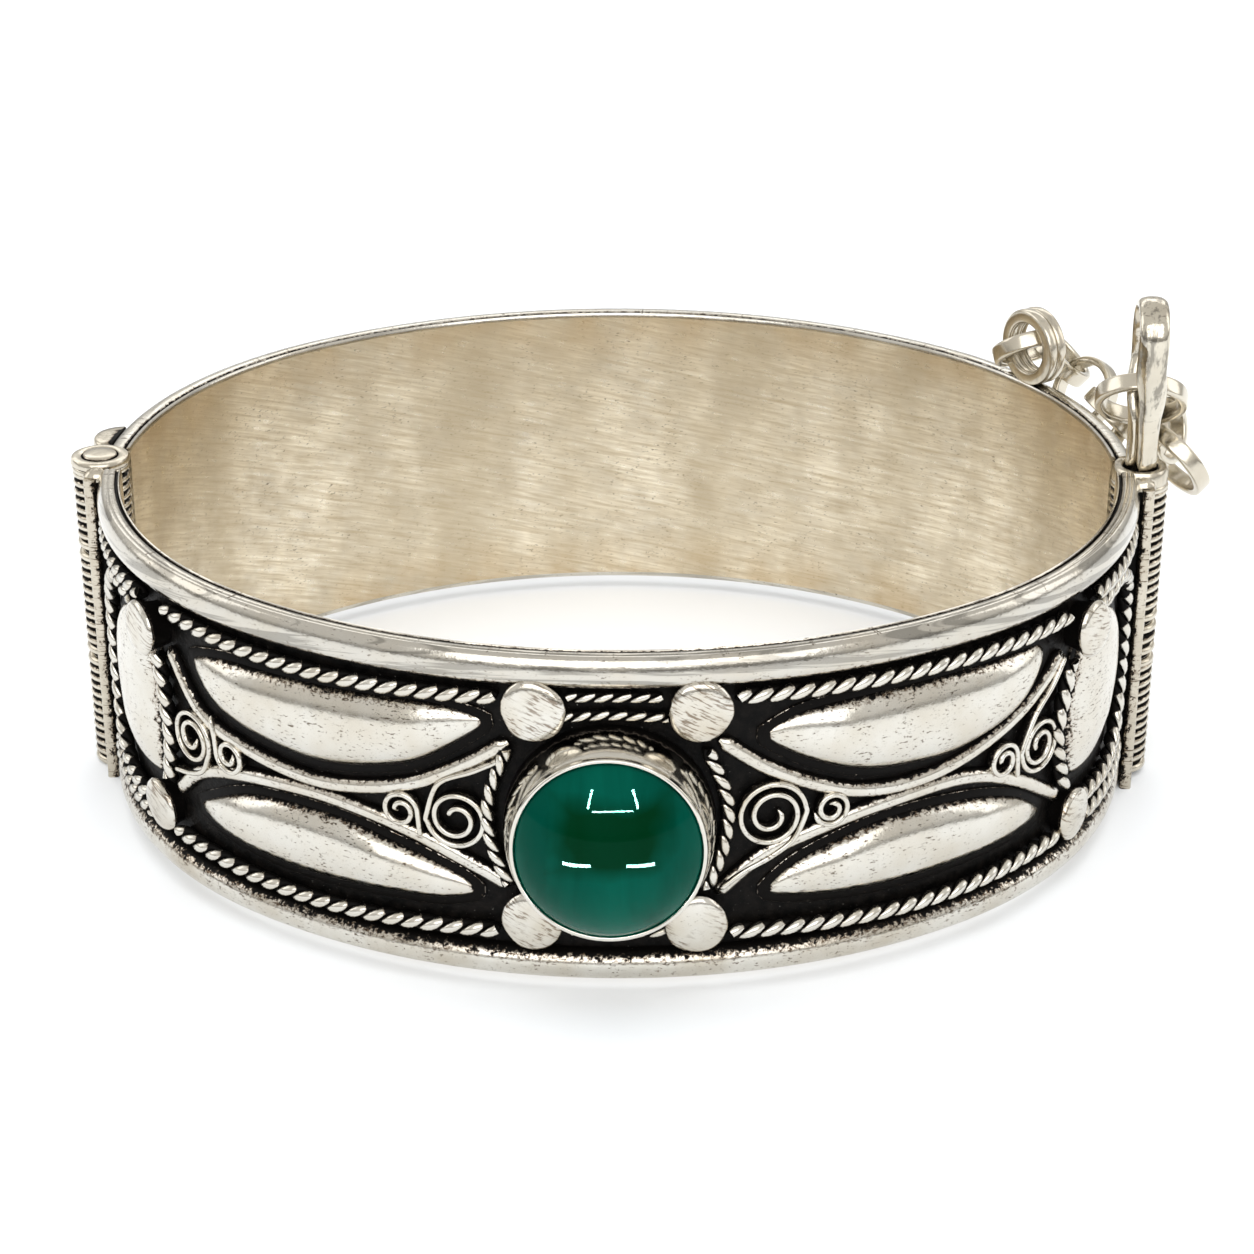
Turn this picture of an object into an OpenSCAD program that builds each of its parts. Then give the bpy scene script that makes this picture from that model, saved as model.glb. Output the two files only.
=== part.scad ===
// Hinged cuff bracelet: an oval band in two halves, an ornamented front with a round stone,
// a plain back, a pin hinge, a clasp pin and its safety chain. Millimetres.
// X runs from the hinge (-X) to the clasp (+X), the front faces -Y, Z is the band's axis.

/* [Band] */
// inside width, hinge to clasp
in_w = 59; // [57:0.5:62]
// inside depth, front to back
in_d = 52; // [50:0.5:55]
// height of the band
band_h = 19.5; // [18.5:0.5:22]
// how far the hinge and clasp bars reach below the band
foot = 0.9; // [0.4:0.1:1.4]
// thickness of the sheet that carries the ornament
sheet_t = 0.5; // [0.4:0.05:0.6]
// thickness over the front rims
rim_t = 1.38; // [1.3:0.02:1.6]
// height of each front rim
rim_h = 1.9; // [1.6:0.1:2.2]
// thickness over the back half's rims
back_t = 1.25; // [1.15:0.05:1.4]

/* [Hinge and clasp] */
// distance from the middle to each pin's axis
pin_x = 31.1; // [30.9:0.1:31.3]
// outer radius of the knuckles
knuckle_r = 1.65; // [1.55:0.05:1.7]
// radius of the hinge pin
hinge_pin_r = 1.05; // [0.9:0.05:1.1]
// radius of the clasp pin
clasp_pin_r = 0.92; // [0.85:0.01:0.95]
// height of the clasp pin's loop above the band
loop_h = 10.4; // [9:0.2:11.5]
// width of the loop
loop_w = 4.6; // [4.2:0.1:5]

/* [Stone] */
// radius of the stone
stone_r = 4.9; // [4.7:0.1:5]
// rise of the dome above the setting's lip
dome_h = 2.3; // [1.8:0.1:2.6]
// how far the setting stands out from the inside of the band
lip_out = 3.55; // [3.2:0.05:3.9]
// outer radius of the setting's lip
lip_r = 5.12; // [5.1:0.02:5.3]
// outer radius of the setting's foot
cup_r = 5.66; // [5.5:0.02:5.8]

/* [Ornament] */
// thickness of the leaf domes over the sheet
leaf_t = 0.85; // [0.6:0.05:1]
// radius of the flattened shot
shot_r = 1.72; // [1.5:0.02:1.8]
// radius of the rope borders
rope_r = 0.42; // [0.36:0.02:0.46]
// width of the plain border wires
wire_w = 0.62; // [0.5:0.02:0.7]

/* [Chain] */
// mean radius of a chain link
link_r = 2.05; // [2:0.05:2.1]
// mean radius of the ring through the pin's loop
ring_r = 2.5; // [2.45:0.05:2.55]
// thickness of the links' band
link_t = 0.5; // [0.4:0.05:0.55]
// width of the links' band
link_w = 1.05; // [0.8:0.05:1.1]

/* [Hidden] */
$fn = 96;
silver = [0.8, 0.78, 0.73];
green = [0.02, 0.38, 0.27];
// four-arc oval: the end arcs' centres are on X, the side arcs' centres on Y, and the line
// through two of them makes a 3-4-5 triangle, so the arcs meet exactly
half_w = in_w / 2;
half_d = in_d / 2;
unit = (half_w - half_d) / 2;
end_c = 3 * unit;
side_c = 4 * unit;
end_r = half_d - unit;
side_r = end_r + 5 * unit;
join_deg = atan2(4, 3);
top_z = foot + band_h;
// the two halves stop short of the pins
front_hinge_y = 2.2;
front_clasp_y = 1.3;
back_end_y = 1.1;
knuckle_gap = 0.25;
clear = 0.3;
// heights at which the knuckles change over, from the bottom
hinge_cuts = [7.5, 14.5];
clasp_cuts = [8.2, 10.45];
clasp_top = top_z - 0.8;
bar_top = top_z - 0.6;
pin_bottom = 0.5;
stone_z = foot + 9.6;
stone_x = 0.15;
sheet_out = half_d + sheet_t;
dome_r = (stone_r * stone_r + dome_h * dome_h) / (2 * dome_h);
sink = 0.1;
leaf_in = sheet_t - 0.3;

// paths around the band: a profile's x is its distance outside the oval, its y the height

// one arc of it; turn is measured from the junction between an end arc and a side arc,
// which lies towards x_side, y_side
module end_sweep(x_side, y_side, turn)
    translate([x_side * end_c, 0, 0])
        rotate([0, 0, x_side > 0 ? y_side * join_deg : 180 - y_side * join_deg])
            rotate_extrude(angle = -x_side * y_side * turn)
                translate([end_r, 0])
                    children();

module side_sweep(x_side, y_side)
    translate([0, -y_side * side_c, 0])
        rotate([0, 0, x_side > 0 ? y_side * join_deg : 180 - y_side * join_deg])
            rotate_extrude(angle = x_side * y_side * (91 - join_deg))
                translate([side_r, 0])
                    children();

// the front half's run, from the hinge round to the clasp
module front_sweep() {
    end_sweep(-1, -1, join_deg - asin(front_hinge_y / end_r)) children();
    side_sweep(-1, -1) children();
    side_sweep(1, -1) children();
    end_sweep(1, -1, join_deg - asin(front_clasp_y / end_r)) children();
}

// the back half's run, from the clasp round to the hinge
module back_sweep() {
    end_sweep(1, 1, join_deg - asin(back_end_y / end_r)) children();
    side_sweep(1, 1) children();
    side_sweep(-1, 1) children();
    end_sweep(-1, 1, join_deg - asin(back_end_y / end_r)) children();
}

// a place on the front: s is the run along the inside of the band from its middle,
// x then points outwards, y along the band and z up
module on_front(s) {
    join_s = side_r * (90 - join_deg) * PI / 180;
    if (abs(s) < join_s)
        translate([0, side_c, 0])
            rotate([0, 0, -90 + s / side_r * 180 / PI])
                translate([side_r, 0, 0]) children();
    else
        translate([sign(s) * end_c, 0, 0])
            rotate([0, 0, -90 + sign(s) * (90 - join_deg + (abs(s) - join_s) / end_r * 180 / PI)])
                translate([end_r, 0, 0]) children();
}

// a flat outline raised outwards from the sheet
module raised(s, out, rise)
    on_front(s)
        translate([out, 0, 0])
            rotate([90, 0, 90])
                linear_extrude(rise) children();

module rounded_bar(w, h, r) {
    translate([0, r]) square([w, h - 2 * r]);
    square([w - r, h]);
    translate([w - r, r]) circle(r);
    translate([w - r, h - r]) circle(r);
}

// FRONT HALF

module rims(t, h, low) {
    translate([low, foot]) rounded_bar(t - low, h, 0.45);
    translate([low, top_z - h]) rounded_bar(t - low, h, 0.45);
}

// the shape between two circles of radius r1 (bulging down) and r2 (bulging up)
module lens(r1, r2, long) {
    rise1 = sqrt(r1 * r1 - long * long / 4);
    rise2 = sqrt(r2 * r2 - long * long / 4);
    intersection() {
        translate([0, rise1]) circle(r1, $fn = 240);
        translate([0, -rise2]) circle(r2, $fn = 240);
    }
}

// a wire bent to an arc: long is its chord, bow its rise, up or down
module bow_wire(long, bow) {
    r = (long * long / 4 + bow * bow) / (2 * abs(bow));
    intersection() {
        translate([0, sign(bow) * (abs(bow) - r)])
            difference() {
                circle(r + wire_w / 2, $fn = 240);
                circle(r - wire_w / 2, $fn = 240);
            }
        translate([-long / 2, bow > 0 ? -0.5 : bow - 1])
            square([long, abs(bow) + 1.5]);
    }
}

// one quarter of the pattern: side is -1 left and +1 right, up is +1 top and -1 bottom
module quarter(side, up) {
    leaf_z = stone_z + up * (up > 0 ? 4.75 : 4.9);
    // leaf, cut from a shell that follows the band
    intersection() {
        raised(0.5 + side * 16.6, leaf_in, 3)
            translate([0, leaf_z + (up > 0 ? 0.5 : -0.7)])
                if (up > 0) lens(13.6, 90, 18.4);
                else lens(60, 13.6, 18.4);
        translate([0, side_c, 0])
            rotate_extrude(angle = 180, start = 180, $fn = 240)
                translate([side_r + leaf_in, foot]) square([leaf_t + 0.3, band_h]);
    }
    // border wire
    intersection() {
        raised(0.5 + side * 16.2, leaf_in, 3)
            translate([0, stone_z + up * 4.1]) bow_wire(21.4, -up * 3.9);
        translate([0, side_c, 0])
            rotate_extrude(angle = 180, start = 180, $fn = 240)
                translate([side_r + leaf_in, foot]) square([0.6, band_h]);
    }
    // rope beside the rim, left plain here
    rope_z = up > 0 ? stone_z + 7.1 : stone_z - 7.0;
    from = side > 0 ? 270 + 6.6 / side_r * 180 / PI : 270 - 23.6 / side_r * 180 / PI;
    translate([0, side_c, 0])
        rotate_extrude(angle = 17 / side_r * 180 / PI, start = from)
            translate([side_r + sheet_t + rope_r - sink, rope_z]) circle(rope_r);
    // flattened shot beside the stone and at the end panel
    raised(0.55 + side * 4.2, leaf_in, 1.2) translate([0, stone_z + up * 6.35]) circle(shot_r);
    raised(0.55 + side * 29, leaf_in, 1.2) translate([0, stone_z + up * 5.75]) circle(shot_r - 0.1);
}

// upright leaf of an end panel, with its rope on both sides
module end_panel(side) {
    raised(side * 32.2, leaf_in, 1.05)
        translate([0, stone_z]) rotate(side * -90) lens(5.2, 40, 9.6);
    raised(side * 28.2, leaf_in, rope_r + 0.3)
        translate([-rope_r, stone_z - 4.2]) square([2 * rope_r, 8.4]);
}

module cup() {
    on_cup = [stone_x, -half_d - sheet_t + 0.3, stone_z];
    translate(on_cup)
        rotate([90, 0, 0])
            difference() {
                cylinder(h = lip_out - sheet_t + 0.3, r1 = cup_r, r2 = lip_r);
                translate([0, 0, 0.8]) cylinder(h = lip_out, r = stone_r + 0.05);
            }
}

// blocks that tie a half's knuckles to its end, side by side with the bar
module front_end(side, z0, z1)
    translate([side > 0 ? pin_x - 1.5 : -pin_x - 0.5, -2.75, z0])
        cube([2, 1.9, z1 - z0]);

module bar(side)
    translate([side * (pin_x + 0.2), 0, 0])
        linear_extrude(bar_top) {
            translate([-0.36, -2.6]) square([0.72, 0.65]);
            translate([0, -2.6]) circle(0.36);
        }

module web(side)
    translate([side > 0 ? pin_x - 1.2 : -pin_x - 0.2, -2.6, foot])
        cube([1.4, 0.65, band_h - 0.6]);

module knuckle(side, z0, z1)
    translate([side * pin_x, 0, z0]) cylinder(h = z1 - z0, r = knuckle_r);

// room for the other half's knuckle
module relief(side, z0, z1)
    translate([side * pin_x, 0, z0 - knuckle_gap / 2])
        cylinder(h = z1 - z0 + knuckle_gap, r = knuckle_r + clear);

module front_half()
    color(silver)
        difference() {
            union() {
                front_sweep() translate([0, foot]) square([sheet_t, band_h]);
                front_sweep() rims(rim_t, rim_h, sheet_t - sink);
                for (side = [-1, 1], up = [-1, 1]) quarter(side, up);
                for (side = [-1, 1]) {
                    end_panel(side);
                    bar(side);
                    web(side);
                }
                cup();
                front_knuckles();
            }
            // the back half's knuckles pass here
            relief(-1, -1, hinge_cuts[0]);
            relief(-1, hinge_cuts[1], top_z + 1);
            relief(1, clasp_cuts[0], clasp_cuts[1]);
            // holes for the two pins
            translate([-pin_x, 0, -1]) cylinder(h = top_z + 3, r = hinge_pin_r + 0.05);
            translate([pin_x, 0, pin_bottom - 0.2]) cylinder(h = top_z + 3, r = clasp_pin_r + 0.05);
        }

module front_knuckles() {
    half_gap = knuckle_gap / 2;
    knuckle(-1, hinge_cuts[0] + half_gap, hinge_cuts[1] - half_gap);
    front_end(-1, hinge_cuts[0] + half_gap, hinge_cuts[1] - half_gap);
    knuckle(1, 0.3, clasp_cuts[0] - half_gap);
    front_end(1, 0.3, clasp_cuts[0] - half_gap);
    knuckle(1, clasp_cuts[1] + half_gap, clasp_top);
    front_end(1, clasp_cuts[1] + half_gap, clasp_top);
    translate([pin_x, 0, clasp_top - sink]) cylinder(h = 0.75 + sink, r = 1.5);
}

// BACK HALF

module back_end(side, z0, z1)
    translate([side > 0 ? pin_x - 1.5 : -pin_x - 1, 0.9, z0])
        cube([2.5, 1.8, z1 - z0]);

// upright half-round bead behind the hinge
module bead()
    translate([-30.3, 3.1, 0])
        cylinder(h = top_z, r = 1.8);

module inside()
    translate([0, 0, -1])
        linear_extrude(top_z + 3) {
            for (side = [-1, 1])
                translate([side * end_c, 0]) circle(end_r - 0.01);
            intersection() {
                translate([0, side_c]) circle(side_r);
                translate([0, -side_c]) circle(side_r);
                square([2 * end_c + 4, in_d], center = true);
            }
        }

// two rings soldered side by side, standing on the rim where the chain starts
module chain_anchor() {
    ring_wire = 0.38;
    deg = 33.5;
    translate([end_c, 0, 0])
        rotate([0, 0, deg])
            translate([end_r + 0.62, 0, top_z + 2.38])
                for (side = [-1, 1])
                    translate([side * 0.3, 0, 0])
                        rotate([0, 90, 0])
                            rotate_extrude() translate([2.02, 0]) circle(ring_wire);
}

module back_half()
    color(silver)
        difference() {
            union() {
                back_sweep() translate([0, foot]) square([back_t - 0.35, band_h]);
                back_sweep() rims(back_t, 1.5, sheet_t);
                difference() {
                    bead();
                    inside();
                }
                knuckle(-1, 0, hinge_cuts[0] - knuckle_gap / 2);
                back_end(-1, 0, hinge_cuts[0] - knuckle_gap / 2);
                knuckle(-1, hinge_cuts[1] + knuckle_gap / 2, top_z);
                back_end(-1, hinge_cuts[1] + knuckle_gap / 2, top_z - 0.5);
                knuckle(1, clasp_cuts[0] + knuckle_gap / 2, clasp_cuts[1] - knuckle_gap / 2);
                back_end(1, clasp_cuts[0] + knuckle_gap / 2, clasp_cuts[1] - knuckle_gap / 2);
                chain_anchor();
            }
            relief(-1, hinge_cuts[0], hinge_cuts[1]);
            relief(1, -1, clasp_cuts[0]);
            relief(1, clasp_cuts[1], top_z + 1);
            translate([-pin_x, 0, -1]) cylinder(h = top_z + 3, r = hinge_pin_r + 0.05);
            translate([pin_x, 0, -1]) cylinder(h = top_z + 3, r = clasp_pin_r + 0.05);
        }

// PINS, STONE AND CHAIN

module hinge_pin()
    color(silver)
        translate([-pin_x, 0, 0.1]) cylinder(h = top_z, r = hinge_pin_r);

module stone()
    color(green)
        translate([stone_x, -half_d - sheet_t - 0.55, stone_z])
            rotate([90, 0, 0]) {
                body = lip_out - sheet_t - 0.6;
                cylinder(h = body, r = stone_r);
                intersection() {
                    translate([0, 0, body + dome_h - dome_r]) sphere(dome_r);
                    translate([0, 0, body - 0.01]) cylinder(h = dome_h + 1, r = stone_r);
                }
            }

// the loop's outline, seen along its thickness: a round top narrowing to the shaft
module loop_outline(r, half_base, low) {
    top = top_z + loop_h - loop_w / 2;
    translate([0, top]) circle(r);
    polygon([[-r * 0.97, top - r * 0.24], [r * 0.97, top - r * 0.24], [half_base, low], [-half_base, low]]);
}

module clasp_pin()
    color(silver)
        translate([pin_x, 0, 0]) {
            translate([0, 0, pin_bottom]) cylinder(h = top_z + 1.9 - pin_bottom, r = clasp_pin_r);
            rotate([90, 0, 88])
                translate([0, 0, -clasp_pin_r])
                    linear_extrude(2 * clasp_pin_r)
                        difference() {
                            loop_outline(loop_w / 2, clasp_pin_r, top_z + 1.2);
                            loop_outline(loop_w / 2 - 0.9, 0.02, top_z + 2.1);
                        }
        }

// a link: a flat band closed to a ring, its axis tilted from Z and turned to a heading
module chain_link(centre, tilt, heading, r)
    color(silver)
        translate(centre)
            rotate([0, tilt, heading])
                rotate_extrude()
                    translate([r - link_t / 2, -link_w / 2])
                        square([link_t, link_w]);

// the chain's links in order, from the back half's rings to the pin's loop
module link_1() chain_link([25.75, 14.6, 22.35], 143, -66, link_r);
module link_2() chain_link([27.95, 15.6, 21.4], 138, 176, link_r);
module link_3() chain_link([29.3, 12.95, 19.95], 119, 41, link_r);
module link_4() chain_link([30.9, 10.2, 19.4], 44, 13, link_r);
module link_5() chain_link([32.1, 7.15, 19], 48, -153, link_r);
module link_6() chain_link([33.6, 4, 19.2], 125, -151, ring_r);
module link_7() chain_link([32.85, 3.6, 21.3], 75, -34, link_r);
module link_8() chain_link([31.1, 1.7, 23.85], 45, 84, ring_r);

front_half();
back_half();
hinge_pin();
stone();
clasp_pin();
link_1();
link_2();
link_3();
link_4();
link_5();
link_6();
link_7();
link_8();
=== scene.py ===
"""Looks of the hinged cuff bracelet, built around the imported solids.

Lengths are millimetres in the frame of the solids, and Form.build() turns them into metres.
A place on the band has three numbers: s is the run along the band's inside from the middle of the
front, positive towards the clasp; off is the distance outwards from that inside face; h is the
height over the band's lower edge. Darkness goes from 0 where silver shines to 1 where it is black.
"""

import math

import bmesh
import bpy
import numpy as np
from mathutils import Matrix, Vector


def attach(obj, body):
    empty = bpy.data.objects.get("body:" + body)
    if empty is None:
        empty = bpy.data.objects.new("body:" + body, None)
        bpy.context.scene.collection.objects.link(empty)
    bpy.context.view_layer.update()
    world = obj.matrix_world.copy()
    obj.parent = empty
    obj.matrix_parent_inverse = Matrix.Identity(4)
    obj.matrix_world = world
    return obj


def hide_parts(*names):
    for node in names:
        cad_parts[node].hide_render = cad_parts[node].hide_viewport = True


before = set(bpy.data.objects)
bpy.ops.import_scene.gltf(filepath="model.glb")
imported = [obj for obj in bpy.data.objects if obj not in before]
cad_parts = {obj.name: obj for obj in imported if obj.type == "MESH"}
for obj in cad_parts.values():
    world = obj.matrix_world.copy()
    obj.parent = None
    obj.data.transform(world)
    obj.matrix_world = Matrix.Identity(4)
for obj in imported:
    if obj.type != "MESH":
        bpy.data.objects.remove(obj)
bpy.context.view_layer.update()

MM = 0.001
TAU = 2 * math.pi
SEED = 7

# the band's oval: end arcs centred on X, side arcs centred on Y, as in the solids
END_C, END_R = 5.25, 24.25
SIDE_C, SIDE_R = 7.0, 33.0
JOIN = math.atan2(4, 3)
SIDE_RUN = SIDE_R * (math.pi / 2 - JOIN)
QUARTER = SIDE_RUN + END_R * JOIN

# sizes shared with the solids
FOOT = 0.9
BAND_H = 19.5
TOP = FOOT + BAND_H
SHEET = 0.5
FRONT_ENDS = (-41.52, 42.42)
BACK_ENDS = (QUARTER + 1.1, 3 * QUARTER - 1.1)
PIN_X = 31.1
STONE_AT = (0.25, -26.0, FOOT + 9.45)
STONE_R = 4.9
STONE_TALL = 1.05

# directions; the odd one lies along no axis of a ring or turned shape
UPRIGHT = np.array([0.0, 0.0, 1.0])
FRONTWARD = np.array([0.0, -1.0, 0.0])
ODD_WAY = np.array([0.3, 0.5, 0.8])
SHARP_DEG = 45

# ornament on the front; SUNK is the off of feet that lie under the sheet's face
ROPE_R, ROPE_PITCH = 0.49, 2.28
THIN_ROPE_R, THIN_ROPE_PITCH = 0.33, 1.9
CUP_ROPE_R, CUP_ROPE_PITCH = 0.43, 1.95
FINE_STEP = 0.13
WIRE_OFF, WIRE_HALF = 0.66, (0.36, 0.46)
SCROLL_OFF, SCROLL_HALF = SHEET + 0.3, (0.36, 0.165)
LEAF_RISE, END_LEAF_RISE = 0.95, 0.85
TIP_CUT, TIP_ROUND = 0.35, 0.7
SUNK = 0.2

# a rope of radius 1: half sizes of one of its wires, how far the wire lies from the middle, and how
# far out it turns from black to bare
ROPE_WIRE = (0.48, 0.62)
ROPE_LEAN = 0.5
ROPE_BLACK, ROPE_BARE = 0.6, 0.86

# a scroll of radius 1: the share that is wound away inwards, and how tall it is
SCROLL_WOUND, SCROLL_TALL = 0.78, 1.04

# a leaf's dome: how soon it is full towards the tips, and its two powers across
LEAF_FULL = 1.2
LEAF_POWERS = (2.4, 0.7)

# one entry for each quarter of the pattern: the leaf's upper and lower edge, the plain wire that
# bows round the leaf and the rope beside the rim, each as (s, h)
QUARTERS = [
    {
        "upper": [
            (-25.4, 14.6), (-22.3, 15.4), (-18.5, 15.65), (-15, 15.8), (-11.8, 15.95), (-8.7, 16),
            (-5.9, 15.3),
        ],
        "lower": [
            (-25.4, 14.6), (-22.7, 12.3), (-18.6, 11.3), (-15.1, 11.15), (-11, 12), (-8.8, 13.1),
            (-5.9, 15.3),
        ],
        "wire": [
            (-27.2, 14.4), (-24.6, 11.5), (-21.4, 10.5), (-16.7, 9.9), (-13.3, 10.2), (-10.1, 11.1),
            (-7.2, 12.7), (-5, 14.2),
        ],
        "rope": [(-26.8, 16.9), (-16, 16.65), (-5.6, 16.95)],
    },
    {
        "upper": [(-25.5, 5.3), (-20.7, 7.6), (-15.2, 8), (-11.1, 7.1), (-8, 5.9), (-6.5, 4.8)],
        "lower": [
            (-25.5, 5.3), (-22.9, 4.4), (-18.8, 4), (-15.2, 3.95), (-11.1, 4.1), (-8.8, 4.2), (-6.5, 4.8),
        ],
        "wire": [
            (-27.2, 5.4), (-24.7, 7.5), (-21.4, 8.6), (-16.7, 9.1), (-13.3, 8.8), (-10.2, 8), (-7.2, 6.7),
            (-5, 5.5),
        ],
        "rope": [(-26.9, 2.9), (-16, 2.5), (-5.7, 2.8)],
    },
    {
        "upper": [(8, 14.4), (10.6, 15.6), (15.1, 15.95), (20.1, 15.95), (25, 15.8), (26.6, 15.2)],
        "lower": [
            (8, 14.4), (10.6, 12.7), (13.6, 11.5), (16.8, 11.1), (20.2, 11.2), (24.1, 12.5), (26.6, 15.2),
        ],
        "wire": [
            (5.9, 14.4), (8.3, 12.6), (10.5, 11.4), (13.4, 10.3), (16.6, 10), (20, 10.5), (23.8, 11.8),
            (26.4, 13.3), (27.8, 14.5),
        ],
        "rope": [(6.8, 17), (17, 16.9), (27.8, 16.7)],
    },
    {
        "upper": [(8.2, 4.8), (10.6, 6.7), (15.2, 8.1), (20.3, 7.9), (24.3, 6.7), (27.2, 4.7)],
        "lower": [(8.2, 4.8), (10.7, 4.3), (15.2, 4), (20.3, 4.1), (24.3, 4.3), (27.2, 4.7)],
        "wire": [(5.8, 5.1), (8.3, 7.2), (11.2, 8.3), (15, 9.1), (20, 9.3), (23.9, 8), (28.4, 5.1)],
        "rope": [(6.6, 2.8), (17, 2.45), (28, 2.75)],
    },
]

# upright leaves of the end panels: straight edge and bowed edge, as (h, s)
END_LEAVES = [
    (
        [(5, -29.2), (8, -28.6), (13, -28.8), (15.6, -30)],
        [(5, -29.2), (6.6, -34), (10.3, -36.2), (14, -34.4), (15.6, -30)],
    ),
    (
        [(5.2, 29.9), (8, 28.9), (13, 29.3), (15.7, 31)],
        [(5.2, 29.9), (6.6, 34), (10.3, 37), (14, 35.4), (15.7, 31)],
    ),
]

# flattened shot: where, radius, and how far out its face is
SHOT = [
    ((-3.6, 16.4), 1.74, 1.75), ((4.9, 16.4), 1.74, 1.75),
    ((-3.7, 3.8), 1.74, 1.75), ((4.7, 3.65), 1.74, 1.75),
    ((-28.5, 15.3), 1.65, 2.15), ((-28.5, 4), 1.6, 1.7),
    ((29.6, 15.4), 1.65, 2.15), ((29.4, 3.6), 1.6, 1.7),
]
# its edge: share of the radius, depth under the face, darkness
SHOT_OUTLINE = [
    (0.4, 0.015, 0), (0.7, 0.06, 0), (0.86, 0.12, 0), (0.95, 0.21, 0), (1, 0.36, 0.3), (0.97, 0.52, 0.6),
    (0.86, 0.72, 1),
]
SHOT_NECK, SHOT_FOOT = 0.8, 0.25

# wound wires: centre, outer radius, angle where the winding starts, turns, and the tail's points
SCROLLS = [
    ((-7.8, 9.4), 1.62, 180, 2.0, [(-5.2, 13.3), (-6.8, 12.4), (-8.7, 11.4)]),
    ((-10.9, 9.4), 0.98, 0, 1.6, [(-9.8, 7.9)]),
    ((-25.1, 9.6), 1.55, -30, 2.1, [(-27.1, 6.9), (-25.6, 7.2), (-24.3, 7.8)]),
    ((-22, 9.6), 0.98, 180, 1.6, [(-23.4, 11.6), (-23.1, 10.6)]),
    ((8.7, 9.7), 1.85, -5, 2.1, [(5.9, 5.4), (7.2, 6.4), (8.7, 7.2), (9.9, 8.1)]),
    ((12, 9.6), 0.95, 190, 1.8, []),
    ((25.9, 9.5), 1.55, 175, 2.15, [(27.9, 14.3), (26.8, 12.9), (25.3, 11.5)]),
    ((23, 9.5), 0.98, 0, 1.6, [(24.1, 8)]),
]

# the other ropes: over and under the cup, beside it, and on the end panels
THIN_ROPES = [
    [(-1.9, 17.1), (0.3, 17.15), (2.9, 17.1)],
    [(-2.1, 15.9), (0.3, 16.1), (3.3, 15.9)],
    [(-1.8, 2.95), (0.4, 2.9), (3.1, 2.95)],
]
CUP_ROPES = [
    [(-5, 13.9), (-6, 11), (-5.95, 8.3), (-5, 5.7)],
    [(5.3, 13.9), (6.3, 11), (6.2, 8.3), (5.3, 5.6)],
]
END_ROPES = [
    [(-28.1, 13.6), (-27.6, 11.2), (-27.3, 8.7), (-27.7, 5.9)],
    [(28.5, 13.7), (27.9, 11.4), (27.5, 9.2), (28.5, 5.8)],
    [(-41, 16.8), (-35, 16.7), (-29.8, 16.7)],
    [(-31, 15.9), (-34.7, 15.9), (-37, 13.6), (-37.5, 10), (-36.9, 6.2), (-34.8, 4), (-30.8, 3.4)],
    [(-41, 2.6), (-35, 2.5), (-30.4, 2.6)],
    [(30.8, 16.8), (35.2, 16.7), (41.6, 16.8)],
    [(31.6, 15.8), (35.4, 16), (38.6, 14), (39.3, 10), (38.6, 6), (36, 4), (31, 3.9)],
    [(31.2, 2.6), (35, 2.5), (41.6, 2.6)],
]


def arc(centre, radii, start, end, count, dark=(0.0, 0.0)):
    """Part of an ellipse, from start to end degrees: rows of two places and a darkness."""
    a = np.radians(np.linspace(start, end, count))
    shade = dark[0] + (dark[1] - dark[0]) * np.linspace(0, 1, count) ** 1.3
    rows = [centre[0] + radii[0] * np.cos(a), centre[1] + radii[1] * np.sin(a), np.clip(shade, 0, 1)]
    return np.stack(rows, -1).tolist()


# outlines of the rims across the band: off, height from the edge, darkness
RIM_OUTLINE = [
    (0, -1.85, 0), (0, -0.07, 0), (0.05, 0, 0), (0.13, -0.01, 0.1), (0.17, -0.08, 0.7),
    (0.2, -0.2, 1), (0.28, -0.2, 1), (0.32, -0.06, 0.65), (0.38, 0, 0.25), (0.55, 0.01, 0),
    (0.66, -0.01, 0.1), (0.7, -0.03, 0.2), (0.75, 0, 0), *arc((0.85, -1.15), (0.55, 1.16), 90, 10, 9),
    *arc((0.85, -1.15), (0.55, 0.65), 0, -80, 8, (0, 1)), (0.5, -1.83, 1), (0.42, -1.85, 1),
]
LOW_RIM_OUTLINE = [
    (0, 1.9, 0), (0, 0.07, 0), (0.05, 0, 0), *arc((0.6, 0.95), (0.8, 0.95), -90, -10, 8),
    *arc((0.6, 0.95), (0.8, 0.88), 0, 85, 9, (0, 1.25)), (0.5, 1.83, 1), (0.42, 1.9, 1),
]
BACK_RIM_OUTLINE = [
    (0.1, -1.62, 0), (0.1, -0.34, 0), (-0.005, -0.3, 0), (0, -0.08, 0), (0.06, 0, 0),
    (0.17, 0, 0.1), (0.24, -0.05, 0.6), (0.28, -0.2, 1), (0.36, -0.2, 1), (0.41, -0.05, 0.5),
    (0.5, 0, 0.1), (0.8, 0.02, 0), (1.1, -0.02, 0), (1.22, -0.14, 0), (1.26, -0.4, 0),
    (1.26, -1.1, 0), (1.18, -1.4, 0.2), (1, -1.52, 0.7), (0.88, -1.62, 1),
]

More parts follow.
